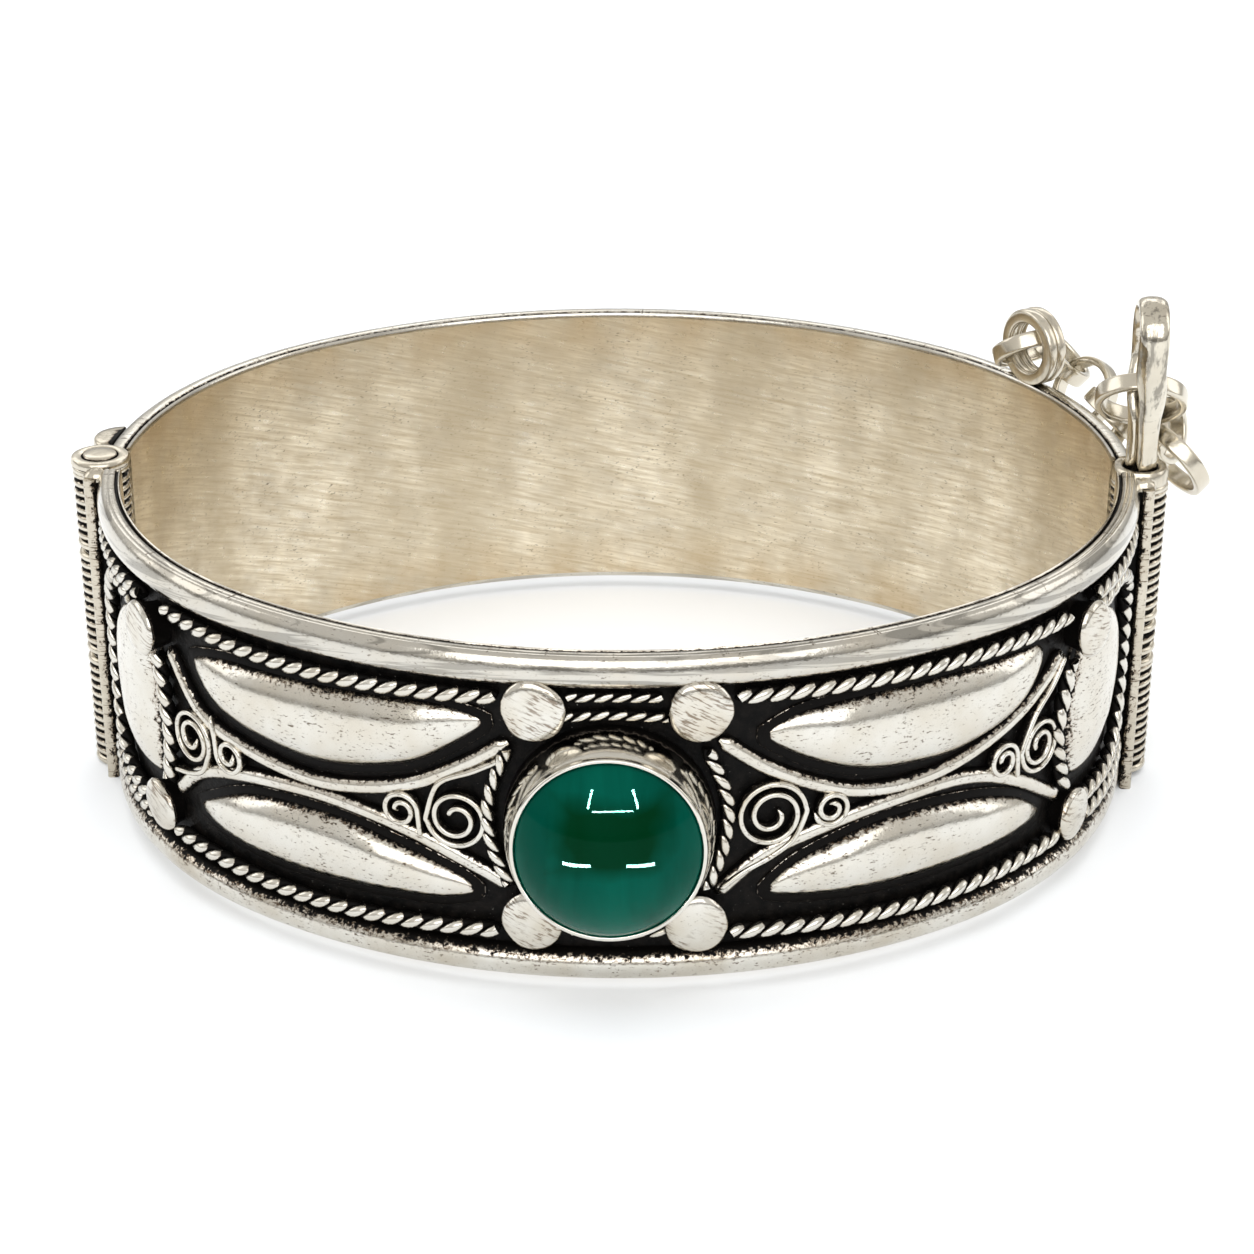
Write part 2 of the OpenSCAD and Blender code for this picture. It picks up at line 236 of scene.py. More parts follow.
# turned shapes: radius, distance along the axis, darkness; next to the axis the radius is AXIS_R
AXIS_R = 0.02
CUP_OUTLINE = [
    (AXIS_R, 0.3, 1), (5.66, 0.3, 1), *arc((4.56, 0.75), (1.1, 3.2), 0, 50, 8, (0.8, -2)),
    (5.2, 3.36, 0.1), *arc((5.07, 3.46), (0.13, 0.12), 10, 170, 7), (4.93, 3.4, 0.7), (4.93, 2.6, 1),
    (AXIS_R, 2.6, 1),
]
STONE_FOOT = [(AXIS_R, 1.05, 0), (4.85, 1.05, 0), (STONE_R, 1.2, 0)]
STONE_LIP, STONE_RISE = 3.5, 2.3
COLLAR_OUTLINE = [
    (0.98, 19.3, 1), (1.6, 19.3, 0.6), (1.66, 19.5, 0.2), (1.64, 20.2, 0), (1.52, 20.36, 0),
    (1.2, 20.36, 0.1), (1.04, 20.25, 0.6), (0.98, 20, 1),
]
WASHER_OUTLINE = [
    (1.1, 19.9, 1), (1.7, 19.9, 0.8), (1.76, 20, 0.1), (1.76, 20.2, 0), (1.68, 20.36, 0),
    (1.5, 20.42, 0), (1.22, 20.42, 0), (1.12, 20.36, 0.4), (1.09, 20.2, 1),
]
HINGE_PIN_OUTLINE = [
    (AXIS_R, 0.1, 0), (1, 0.1, 0), (1.03, 0.2, 0.4), (1.03, 20.3, 1), (1, 20.42, 0.5),
    (0.9, 20.48, 0.1), (0.5, 20.5, 0), (AXIS_R, 20.5, 0),
]

# knuckles wound with wire: side, lower end, upper end
FRONT_KNUCKLES = [(-1, 7.65, 14.35), (1, 0.3, 8.05), (1, 10.6, 19.45)]
BACK_KNUCKLES = [(-1, 0.05, 7.35), (-1, 14.65, 19.95), (1, 8.35, 10.3)]
COIL_R, COIL_WIRE_R, COIL_PITCH = 1.46, 0.25, 0.56
COIL_END = 1.05
CORE_SUNK, CORE_SHORT = 0.05, 0.02

# posts, ties and solder, for the side where x is positive: place, levels and half sizes
BAR_AT, BAR_LEVELS, BAR_HALF = (31.27, -2.5), (0, 19.85), (0.37, 0.46)
BAR_POWER, BAR_SHADE = 3.5, 0.62
FRONT_POST_AT, FRONT_POST_LEVELS, FRONT_POST_HALF = (30.45, -2.25), (0.9, 19.6), (0.75, 0.3)
BACK_POST_AT, BACK_POST_HALF = (30.4, 1.75), (0.85, 0.85)
POST_POINTS, POST_STEP = 20, 0.25
TIE_OUTLINE = [(29.75, -2.5), (31.5, -2.5), (31.5, -0.9), (29.75, -0.9)]
SOLDER_AT, SOLDER_SIZE = (31.0, -1.9, 19.65), (0.8, 0.6, 0.62)

# the bead behind the hinge: its round outside, the points where it meets the band, the place it
# narrows to, and how full it is at each level
BEAD_MIDDLE, BEAD_R, BEAD_DEGREES = (-30.3, 3.1), 1.75, (92, 232)
BEAD_INNER = [(-30.72, 1.7), (-30.6, 2.7), (-30.45, 3.8), (-30.34, 4.7)]
BEAD_CORE = np.array([-30.9, 3.2])
BEAD_LEVELS = [(0.05, 1), (20.1, 1), (20.28, 0.96), (20.36, 0.88), (20.37, 0.6)]

# the double ring on the back half's upper edge: heading, radius, height over the edge, distance
# outside the band's inner face, half the distance between its two wires, a wire's half sizes, and
# where the line between them is black and bare
ANCHOR_DEG, ANCHOR_R, ANCHOR_LIFT, ANCHOR_OFF = 33.5, 2.0, 2.38, 0.62
ANCHOR_PARTED, ANCHOR_HALF = 0.34, (0.45, 0.36)
ANCHOR_BLACK, ANCHOR_BARE = 0.37, 0.33

# the clasp pin: its eye's radius, middle and ends, headings of the eye and of the parted legs, the
# levels where the legs turn from one to the other, and each leg's height and reach from the middle
EYE_R, EYE_Z, EYE_DEGREES = 1.85, 28.5, (-14, 194)
EYE_DEG, LEGS_DEG = 88, 130
LEGS_TOP, LEGS_TURNED = 26.5, 22.0
LEG_LINE = [
    (26.6, 1.6), (25.3, 1.2), (24.3, 0.82), (23.5, 0.55), (22.5, 0.45), (21.4, 0.44), (20.4, 0.44),
    (15, 0.44), (10.5, 0.44),
]
STRIP_HALF, STRIP_NARROW = (0.44, 0.88), 0.82
STRIP_BARE, SEAM_LEVELS = -0.36, (22.6, 23.4)

LINKS = 8
LINK_HALF = (0.25, 0.52)

# colours
BRIGHT = (0.68, 0.655, 0.595)
SOFT = (0.59, 0.565, 0.51)
GOLDEN = (0.68, 0.63, 0.53)
WARM = (0.56, 0.505, 0.41)
CREAM = (0.60, 0.55, 0.46)
DULL = (0.47, 0.415, 0.325)
INSIDE = (0.98, 0.90, 0.735)
STREAK = (0.56, 0.46, 0.31)
# the next colour is painted shade, laid in broad upright bands inside the band
PAINTED_SHADE_BAND = (0.52, 0.435, 0.30)
EDGE_STAIN = (0.60, 0.455, 0.27)
PIT = (0.10, 0.07, 0.045)
SCRATCH = (0.13, 0.08, 0.04)
# the next colour is a painted dark reflection, laid in upright patches
DARK_REFLECTION_PATCH = (0.08, 0.07, 0.06)
# the next colour is a painted dark reflection, laid in thin lines along rims
REFLECTION_LINE = (0.2, 0.188, 0.165)
BLACK = (0.004, 0.0034, 0.003)
RUST = (0.16, 0.10, 0.055)
GROUND = ((0.002, 0.0018, 0.0016), (0.008, 0.0065, 0.0055))
STONE_GREENS = ((0.0, 0.062, 0.040), (0.001, 0.098, 0.066))
# the next colour is a painted dark reflection in the stone's middle
STONE_REFLECTION_DARK = (0.0, 0.022, 0.001)
STONE_SHINE = (0.3, 0.9, 0.75, 1)
FLOOR_TINTS = ((0.89, 0.915, 0.95), (0.905, 0.93, 0.965))

# features in a millimetre along the band and across it
PIT_GRAIN = (2.6, 6.5)
SCRATCH_GRAIN = (1.1, 5.5)
# the next grain is for painted reflection lines along rims
REFLECTION_LINE_GRAIN = (0.1, 2.6)
STREAK_GRAIN = (0.3, 4.2)
STROKE_GRAIN = (0.4, 4)
# the next grain is for bands of painted shade inside the band
PAINTED_SHADE_GRAIN = (0.15, 0.02)
# and along x, y and z
# the next grain is for patches of painted dark reflection
DARK_REFLECTION_GRAIN = (1.5, 1.5, 0.3)
STONE_GRAIN, STONE_TURN = (0.42, 0.1, 0.07), (0, 0.12, 0)

# the noise level where a pit starts, and how much lower it is where pits are few, where they are
# many, and where the silver is dark
PIT_LIMIT, PIT_FEW, PIT_MANY, PIT_DARK = 0.70, 0.05, 0.135, 0.12

# the painted dark reflection on the stone, of the dark room between its lights: its middle and half sizes in
# x and z
STONE_REFLECTION_AT, STONE_REFLECTION_HALF = (0.35, 12.0), (2.6, 1.75)

# how much strokes sink as x and y grow, inside the band and on the shot, and the radius that turns
# an angle round the band into a run
BRUSH_SLANT = (0.2, 0.34)
SCRATCH_SLANT = (0.5, 0.0)
BAND_REACH = 28

# brightness of the room at heights from 0 at the horizon to 1 overhead, in front and behind, how far
# from the middle one turns to the other, and the room's tint
ROOM_LEVELS = (
    [(0, 0.42), (0.05, 0.3), (0.12, 0.55), (0.25, 0.78), (1, 0.8)],
    [(0, 0.5), (0.15, 0.6), (0.3, 0.82), (0.6, 0.8), (1, 0.78)],
)
ROOM_TURN = 0.35
ROOM_TINT = (1, 0.985, 0.95)

# soft lights aimed at the band's middle: name, place, width, height, radiance
SOFTBOXES = [
    ("front_softbox", (40, -620, 430), 960, 520, 1.8),
    ("left_softbox", (-640, 120, 330), 420, 420, 1),
    ("right_softbox", (640, 60, 300), 300, 420, 1.1),
    ("back_softbox", (0, 620, 460), 900, 260, 1.1),
]
FLOOR_FILL = ("floor_fill", (0, 0, 900), 900, 900, 1.7)

# thin lights that the stone mirrors: name, azimuth, elevation, distance, size
GEM_LIGHTS = [
    ("gem_light_left", -23, 36, 250, (10, 78)),
    ("gem_light_right", 32, 35, 250, (10, 78)),
    ("gem_light_low", 4, 27, 250, (180, 6)),
    ("gem_floor_left", -35, -23, 14, (7, 0.8)),
    ("gem_floor_right", 35, -23, 14, (7, 0.8)),
]
GEM_LIGHT_RADIANCE = 700
GEM_FACE = (0.3, -31, 11)

CAMERA_AT = (4.46, -163.5, 87.3)
CAMERA_TURN, CAMERA_PITCH = 1.38, 25.5
CAMERA_LENS, CAMERA_SENSOR, CAMERA_NEAR = 84.8, 36, 0.01
FLOOR_SIZE, FLOOR_PARTS = 6, 8


# places and paths


def unit(v):
    v = np.asarray(v, float)
    return v / np.maximum(np.linalg.norm(v, axis=-1, keepdims=True), 1e-9)


def oval(s, off=0):
    """Plan of the band at run s: x, y and the two parts of the outward direction."""
    s = (np.asarray(s, float) + 2 * QUARTER) % (4 * QUARTER) - 2 * QUARTER
    run = np.abs(s)
    behind = run > QUARTER
    run = np.where(behind, 2 * QUARTER - run, run)
    on_side = run < SIDE_RUN
    turn = np.where(on_side, run / SIDE_R - math.pi / 2, (run - SIDE_RUN) / END_R - JOIN)
    right, flip = np.where(s < 0, -1, 1), np.where(behind, -1, 1)
    reach = np.where(on_side, SIDE_R, END_R) + off
    x = right * (np.where(on_side, 0, END_C) + reach * np.cos(turn))
    y = flip * (np.where(on_side, SIDE_C, 0) + reach * np.sin(turn))
    return x, y, right * np.cos(turn), flip * np.sin(turn)


def on_band(s, off, h):
    """Points on or over the band."""
    x, y, _, _ = oval(s, off)
    return np.stack(np.broadcast_arrays(x, y, FOOT + np.asarray(h, float)), -1)


def outward(s):
    _, _, nx, ny = oval(s)
    return np.stack([nx, ny, np.zeros_like(nx)], -1)


def even(line, step):
    """The same line with its points step apart."""
    run = np.r_[0, np.cumsum(np.linalg.norm(np.diff(line, axis=0), axis=1))]
    where = np.linspace(0, run[-1], max(int(round(run[-1] / step)), 2) + 1)
    return np.stack([np.interp(where, run, column) for column in line.T], -1)


def smooth_path(points, step):
    """A smooth line through points, with its points step apart."""
    p = np.asarray(points, float)
    p = np.vstack([2 * p[0] - p[1], p, 2 * p[-1] - p[-2]])
    t = np.linspace(0, 1, 16, endpoint=False)[:, None]
    spans = [
        0.5 * (2 * b + (c - a) * t + (2 * a - 5 * b + 4 * c - d) * t**2 + (3 * b - a - 3 * c + d) * t**3)
        for a, b, c, d in zip(p, p[1:], p[2:], p[3:])
    ]
    return even(np.vstack(spans + [p[-2:-1]]), step)


def band_line(points, off, step):
    """A smooth line over the band through (s, h) points, and the outward direction along it."""
    line = smooth_path(points, step)
    return on_band(line[:, 0], off, line[:, 1]), outward(line[:, 0])


def heading(degrees):
    a = math.radians(degrees)
    return np.array([math.cos(a), math.sin(a), 0])


def spokes(axis, count):
    """Directions all round an axis."""
    across = unit(np.cross(axis, ODD_WAY))
    turn = np.arange(count)[:, None] * TAU / count
    return np.cos(turn) * across + np.sin(turn) * np.cross(axis, across)


def fade(value, full, none):
    """1 at full, 0 at none and smooth between them."""
    t = np.clip((np.asarray(value, float) - none) / (full - none), 0, 1)
    return t * t * (3 - 2 * t)


# meshes


def skin_faces(rows, cols, closed):
    """Four-cornered faces between rows of closed outlines, also from the last row to the first."""
    r = np.arange(rows if closed else rows - 1)[:, None]
    c = np.arange(cols)[None]
    r2, c2 = (r + 1) % rows, (c + 1) % cols
    return np.stack([r * cols + c, r * cols + c2, r2 * cols + c2, r2 * cols + c], -1).reshape(-1, 4)


def oval_section(half_u, half_v, count, power=2):
    """A closed outline, from an ellipse at power 2 to nearly a rectangle at power 8."""
    a = np.arange(count) * TAU / count
    c, s = np.cos(a), np.sin(a)
    u = half_u * np.sign(c) * np.abs(c) ** (2 / power)
    v = half_v * np.sign(s) * np.abs(s) ** (2 / power)
    return np.stack([u, v], -1)


class Form:
    """One mesh in the making. Each point has a darkness."""

    def __init__(self):
        self.points, self.faces, self.dark, self.count = [], [], [], 0

    def shell(self, points, dark=0, closed=False):
        """Rows of closed outlines joined to a skin, with its ends filled unless it is closed."""
        points = np.asarray(points, float)
        rows, cols = points.shape[:2]
        self.faces.extend((skin_faces(rows, cols, closed) + self.count).tolist())
        if not closed:
            first = range(self.count, self.count + cols)
            last = range(self.count + (rows - 1) * cols, self.count + rows * cols)
            self.faces.extend([list(first), list(last)])
        self.points.append(points.reshape(-1, 3))
        self.dark.append(np.broadcast_to(dark, (rows, cols)).reshape(-1))
        self.count += rows * cols

    def sweep(self, path, up, section, dark=0, closed=False, scale=1):
        """A section, (along up, sideways), carried along a path."""
        path, up = np.asarray(path, float), np.broadcast_to(up, np.shape(path))
        ahead = np.roll(path, -1, 0) - np.roll(path, 1, 0) if closed else np.gradient(path, axis=0)
        ahead = unit(ahead)
        side = unit(np.cross(up, ahead))
        up = np.cross(ahead, side)
        section = np.broadcast_to(section, (len(path),) + np.shape(section)[-2:])
        section = section * np.broadcast_to(scale, len(path))[:, None, None]
        points = path[:, None] + section[..., :1] * up[:, None] + section[..., 1:] * side[:, None]
        self.shell(points, dark, closed)
        return points

    def along_band(self, outline, ends, step=0.35):
        """A closed outline, (off, h, darkness), carried along the band."""
        off, h, dark = np.asarray(outline, float).T
        s = np.linspace(*ends, int(abs(ends[1] - ends[0]) / step) + 2)[:, None]
        self.shell(on_band(s, off[None], h[None]), dark)

    def wall(self, face, behind, gap, ends, count, dark=0, step=0.35):
        """A thin wall along the band, its face in count rows; gap is what it leaves at each edge."""
        low, high = gap, BAND_H - gap
        outline = [(behind, high, dark), (behind, low, dark)]
        outline += [(face, h, dark) for h in np.linspace(low, high, count)]
        self.along_band(outline, ends, step)

    def lathe(self, centre, axis, outline, count=48, wobble=0, rng=None):
        """An outline, (radius, distance along the axis, darkness), turned round the axis."""
        axis = unit(axis)
        radius, along, dark = np.asarray(outline, float).T
        uneven = np.ones(count)
        if rng is not None:
            a = np.arange(count) * TAU / count
            for k in (2, 3, 5):
                uneven += wobble / k * np.cos(k * a + rng.uniform(0, TAU))
        reach = radius[:, None] * uneven
        points = np.asarray(centre) + along[:, None, None] * axis + reach[..., None] * spokes(axis, count)
        self.shell(points, np.broadcast_to(dark[:, None], reach.shape))

    def stretch_up(self, factor, middle):
        """Makes the last part taller about a height."""
        self.points[-1] = self.points[-1] * [1, 1, factor] + [0, 0, middle * (1 - factor)]

    def build(self, name, material, body="front", node="front_half", slot="silver"):
        """The finished object, in metres, riding on a body and standing for a CAD node."""
        mesh = bpy.data.meshes.new(name)
        mesh.from_pydata((np.vstack(self.points) * MM).tolist(), [], self.faces)
        shade = mesh.attributes.new("dark", "FLOAT", "POINT")
        shade.data.foreach_set("value", np.concatenate(self.dark).astype(np.float32))
        work = bmesh.new()
        work.from_mesh(mesh)
        bmesh.ops.recalc_face_normals(work, faces=work.faces)
        work.to_mesh(mesh)
        work.free()
        mesh.polygons.foreach_set("use_smooth", [True] * len(mesh.polygons))
        mesh.set_sharp_from_angle(angle=math.radians(SHARP_DEG))
        mesh.materials.append(material)
        piece = bpy.data.objects.new(name, mesh)
        bpy.context.scene.collection.objects.link(piece)
        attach(piece, body)
        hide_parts(node)
        return piece


# ornament on the front


def rope(form, path, up, radius, pitch):
    """Two wires twisted round each other, black between them and underneath."""
    ahead = unit(np.gradient(path, axis=0))
    side = unit(np.cross(up, ahead))
    run = np.r_[0, np.cumsum(np.linalg.norm(np.diff(path, axis=0), axis=1))]
    for start in (0, math.pi):
        turn = (start + TAU * run / pitch)[:, None]
        lean = np.cos(turn) * up + np.sin(turn) * side
        section = oval_section(*(part * radius for part in ROPE_WIRE), 10)
        points = Form().sweep(path + ROPE_LEAN * radius * lean, lean, section)
        reach = np.linalg.norm(points - path[:, None], axis=-1)
        between, under = fade(reach, ROPE_BLACK * radius, ROPE_BARE * radius), fade(np.cos(turn), -0.1, 0.4)
        form.shell(points, np.maximum(between, under))


def wire(form, points, off, half, step=0.2, power=2, bare=0.95):
    """A plain wire laid on the band, black along its foot; half is (outwards, sideways)."""
    path, up = band_line(points, off, step)
    section = oval_section(*half, 14, power)
    dark = fade(section[:, 0], (bare - 0.7) * half[0], bare * half[0])
    from_end = np.minimum(np.arange(len(path)), np.arange(len(path))[::-1])
    form.sweep(path, up, section, dark, scale=np.clip(from_end / 3 + 0.35, 0, 1))


def scroll(form, centre, radius, start, turns, tail):
    """A flat wire on edge, wound anticlockwise to a spiral from its tail inwards."""
    turn = np.linspace(0, turns * TAU, int(26 * turns))
    r = radius * (1 - SCROLL_WOUND * (turn / turn[-1]) ** 1.5)
    angle = math.radians(start) + turn
    spiral = [centre[0] + r * np.cos(angle), centre[1] + SCROLL_TALL * r * np.sin(angle)]
    points = np.vstack([np.reshape(tail, (-1, 2)), np.stack(spiral, -1)])
    wire(form, points, SCROLL_OFF, SCROLL_HALF, FINE_STEP, power=3.2, bare=0.75)


def edge_at(points, where):
    """The second coordinate of a smooth line at places along the first."""
    line = smooth_path(points, 0.1)
    order = np.argsort(line[:, 0], kind="stable")
    return np.interp(where, line[order, 0], line[order, 1])


def leaf(form, first, second, rise, upright=False, rows=90, cols=31):
    """A dome between two edges that meet at both tips, on a thin plate that shows round it."""
    start, end = first[0][0] + TIP_CUT, first[-1][0] - TIP_CUT
    along = start + (end - start) * (1 - np.cos(np.linspace(0, math.pi, rows))) / 2
    a, b = edge_at(first, along), edge_at(second, along)
    from_tip = np.minimum(along - start, end - along)
    cap = np.sqrt(1 - (1 - np.clip(from_tip / TIP_ROUND, 0, 1)) ** 2)
    middle, half = (a + b) / 2, (a - b) / 2 * cap
    v = np.sin(np.linspace(-1, 1, cols) * math.pi / 2)[None]
    across = middle[:, None] + half[:, None] * v
    swell = np.minimum(np.abs(half) / np.abs(half).max() * LEAF_FULL, 1) ** 1.05
    dome = (1 - np.abs(v) ** LEAF_POWERS[0]) ** LEAF_POWERS[1]
    off = SHEET + 0.1 + rise * swell[:, None] * dome
    s, h = (across, np.broadcast_to(along[:, None], across.shape))[:: 1 if upright else -1]
    outline = np.concatenate([on_band(s, off, h), on_band(s, SUNK, h)[:, ::-1]], 1)
    dark = np.maximum(fade(np.abs(v), 1.12, 0.72), fade(from_tip, 0.05, 0.5)[:, None])
    form.shell(outline, np.concatenate([dark, np.ones_like(dark)], 1))
    plate(form, np.stack([along, a], -1), np.stack([along, b], -1), upright)


def plate(form, first, second, upright, margin=0.42, top=SHEET + 0.17):
    """The thin plate's edge round a leaf."""
    loop = even(np.vstack([first, second[::-1], first[:1]]), 0.25)[:-1]
    ahead = unit(np.roll(loop, -1, 0) - np.roll(loop, 1, 0))
    aside = np.stack([ahead[:, 1], -ahead[:, 0]], -1)
    aside *= np.sign(((loop - loop.mean(0)) * aside).sum(-1).mean())
    section = [
        (-0.2, SUNK, 1), (-0.2, top, 1), (margin, top, 0.95), (margin + 0.05, top - 0.04, 0.5),
        (margin + 0.05, SUNK, 1),
    ]
    rows = []
    for out, off, _ in section:
        s, h = (loop + aside * out).T[:: -1 if upright else 1]
        rows.append(on_band(s, off, h))
    dark = [row[2] for row in section]
    form.shell(np.stack(rows, 1), dark, closed=True)


def shot(form, place, radius, face, rng):
    """A ball of silver hammered flat, with a rounded rim."""
    s, h = place
    axis = outward(np.array(s)) + rng.uniform(-0.05, 0.05, 3)
    edge = [(share * radius, face - depth, dark) for share, depth, dark in SHOT_OUTLINE]
    neck = [(SHOT_NECK * radius, SHEET, 1), (SHOT_NECK * radius, SHOT_FOOT, 1)]
    outline = [(AXIS_R, face, 0)] + edge + neck + [(AXIS_R, SHOT_FOOT, 1)]
    form.lathe(on_band(s, 0, h), axis, outline, 44, wobble=0.05, rng=rng)


# pieces of the front half


def front_sheet(materials):
    """The blackened sheet under the ornament, and the bare inside of it."""
    ground, liner = Form(), Form()
    ground.wall(SHEET, behind=0.1, gap=1.8, ends=FRONT_ENDS, count=40, dark=1, step=0.3)
    ground.build("front_ground", materials["field"])
    liner.wall(-0.01, behind=0.12, gap=0.4, ends=FRONT_ENDS, count=12)
    liner.build("front_liner", materials["inside"])


def front_rims(materials):
    for name, outline, edge in (("rim", RIM_OUTLINE, BAND_H), ("low_rim", LOW_RIM_OUTLINE, 0)):
        form = Form()
        form.along_band(np.array(outline) + [0, edge, 0], FRONT_ENDS, 0.3)
        form.build(f"front_{name}", materials[name])


def front_leaves(materials):
    form = Form()
    for quarter in QUARTERS:
        leaf(form, quarter["upper"], quarter["lower"], LEAF_RISE)
    for straight, bowed in END_LEAVES:
        leaf(form, straight, bowed, END_LEAF_RISE, upright=True)
    form.build("front_leaves", materials["leaf"])


def front_shot(materials):
    form = Form()
    rng = np.random.default_rng(SEED)
    for place, radius, face in SHOT:
        shot(form, place, radius, face, rng)
    form.build("front_shot", materials["shot"])


def front_wires(materials):
    form = Form()
    for quarter in QUARTERS:
        wire(form, quarter["wire"], WIRE_OFF, WIRE_HALF)
    for centre, radius, start, turns, tail in SCROLLS:
        scroll(form, centre, radius, start, turns, tail)
    form.build("front_wires", materials["wire"])


def front_ropes(materials):
    form = Form()
    groups = (
        ([quarter["rope"] for quarter in QUARTERS], ROPE_R, ROPE_PITCH),
        (THIN_ROPES, THIN_ROPE_R, THIN_ROPE_PITCH),
        (CUP_ROPES, CUP_ROPE_R, CUP_ROPE_PITCH),
        (END_ROPES, ROPE_R, ROPE_PITCH),
    )
    for lines, radius, pitch in groups:
        for points in lines:
            path, up = band_line(points, SHEET + radius, FINE_STEP)
            rope(form, path, up, radius, pitch)
    form.build("front_ropes", materials["rope"])


def cup(materials):
    form = Form()
    form.lathe(STONE_AT, FRONTWARD, CUP_OUTLINE, 96)
    form.stretch_up(STONE_TALL, STONE_AT[2])
    form.build("cup", materials["cup"])


def stone(materials):
    """The domed stone, a cap of a ball over a short straight foot."""
    form = Form()
    ball = (STONE_R**2 + STONE_RISE**2) / (2 * STONE_RISE)
    middle = STONE_LIP + STONE_RISE - ball
    swing = np.linspace(math.asin(STONE_R / ball), 0.002, 40)
    dome = [(ball * math.sin(a), middle + ball * math.cos(a), 0) for a in swing]
    form.lathe(STONE_AT, FRONTWARD, STONE_FOOT + dome, 128)
    form.stretch_up(STONE_TALL, STONE_AT[2])
    return form.build("green_stone", materials["stone"], node="stone", slot="green_stone")


# hinge and clasp


def ring(form, centre, axis, radius, section, dark=0, count=64):
    """A closed ring, its section (outwards, along the axis)."""
    spoke = spokes(unit(axis), count)
    form.sweep(np.asarray(centre) + radius * spoke, spoke, section, dark, closed=True)


def coil(form, x, low, high):
    """Wire wound round a knuckle, with a plain ring at each end, over a black core."""
    turns = (high - low - 4 * COIL_WIRE_R) / COIL_PITCH
    a = np.linspace(0, turns * TAU, int(turns * 30))
    spoke = np.stack([np.cos(a), np.sin(a), np.zeros_like(a)], -1)
    path = np.array([x, 0, low + 2 * COIL_WIRE_R]) + COIL_R * spoke
    path[:, 2] += a / TAU * COIL_PITCH
    section = oval_section(COIL_WIRE_R, COIL_WIRE_R, 8)
    form.sweep(path, spoke, section, fade(section[:, 0], 0.5 * COIL_WIRE_R, 0.95 * COIL_WIRE_R))
    end_section = COIL_END * oval_section(COIL_WIRE_R, COIL_WIRE_R, 12)
    for level in (low + COIL_WIRE_R, high - COIL_WIRE_R):
        ring(form, (x, 0, level), UPRIGHT, COIL_R, end_section)
    low, high, wide = low + CORE_SHORT, high - CORE_SHORT, COIL_R - CORE_SUNK
    form.lathe((x, 0, 0), UPRIGHT, [(AXIS_R, low, 1), (wide, low, 1), (wide, high, 1), (AXIS_R, high, 1)], 40)


def post(form, side, place, levels, half, dark, rng, rough, power):
    """An upright bar with slightly uneven edges; place and half are (x, y)."""
    rows = int((levels[1] - levels[0]) / POST_STEP) + 2
    x, y = np.full(rows, side * place[0]), np.full(rows, place[1])
    path = np.column_stack([x, y, np.linspace(*levels, rows)])
    section = oval_section(half[1], half[0], POST_POINTS, power)
    uneven = 1 + rough * rng.uniform(-1, 1, (rows, POST_POINTS, 1))
    form.sweep(path, FRONTWARD, section[None] * uneven, dark)


def lump(form, centre, size, rng, dark):
    """A rough drop of solder."""
    tilt = np.linspace(0.02, math.pi - 0.02, 14)[:, None]
    turn = np.arange(22) * TAU / 22
    ball = np.stack([np.sin(tilt) * np.cos(turn), np.sin(tilt) * np.sin(turn), np.cos(tilt) + 0 * turn], -1)
    ball *= 1 + 0.07 * rng.uniform(-1, 1, ball.shape[:2] + (1,))
    form.shell(np.asarray(centre) + ball * size, dark)


def tie(form, side, low, high):
    """The solid block between the front half's end and a knuckle."""
    outline = np.array(TIE_OUTLINE) * [side, 1]
    rows = [np.column_stack([outline, np.full(4, z)]) for z in (low, high)]
    form.shell(rows, 1)


def bead(form):
    """The half-round strip up the outside of the back half, beside the hinge."""
    turn = np.radians(np.linspace(*BEAD_DEGREES, 24))
    outer = np.array(BEAD_MIDDLE) + BEAD_R * np.stack([np.cos(turn), np.sin(turn)], -1)
    outline = np.vstack([outer, BEAD_INNER])
    shade = np.r_[np.zeros(len(outer)), np.full(len(BEAD_INNER), 0.8)]
    rows = [
        np.column_stack([BEAD_CORE + (outline - BEAD_CORE) * full, np.full(len(outline), z)])
        for z, full in BEAD_LEVELS
    ]
    form.shell(rows, shade)


def anchor(form):
    """The double ring that holds the chain, with a dark line where its two wires touch."""
    spoke = heading(ANCHOR_DEG)
    section = oval_section(*ANCHOR_HALF, 20, 3.5)
    for way in (-1, 1):
        reach = END_R + ANCHOR_OFF + way * ANCHOR_PARTED
        centre = np.array([END_C, 0, TOP + ANCHOR_LIFT]) + spoke * reach
        dark = fade(-way * section[:, 1], ANCHOR_BLACK, ANCHOR_BARE)
        ring(form, centre, spoke, ANCHOR_R, section, dark, 72)


def front_ends(materials, rng):
    """The front half's knuckles, the bars beside them and the solder on top."""
    form, bars = Form(), Form()
    for side, low, high in FRONT_KNUCKLES:
        coil(form, side * PIN_X, low, high)
        tie(form, side, low, high)
    for side in (-1, 1):
        inner = side * oval_section(BAR_HALF[1], 1, POST_POINTS, BAR_POWER)[:, 1]
        dark = BAR_SHADE * fade(inner, 0.9, -0.5)
        post(bars, side, BAR_AT, BAR_LEVELS, BAR_HALF, dark, rng, 0.03, BAR_POWER)
        post(form, side, FRONT_POST_AT, FRONT_POST_LEVELS, FRONT_POST_HALF, 1, rng, 0.01, 8)
        lump(form, np.array(SOLDER_AT) * [side, 1, 1], SOLDER_SIZE, rng, 0.2)
    form.lathe((PIN_X, 0, 0), UPRIGHT, COLLAR_OUTLINE)
    form.build("front_knuckles", materials["end"])
    bars.build("front_bars", materials["bar"])


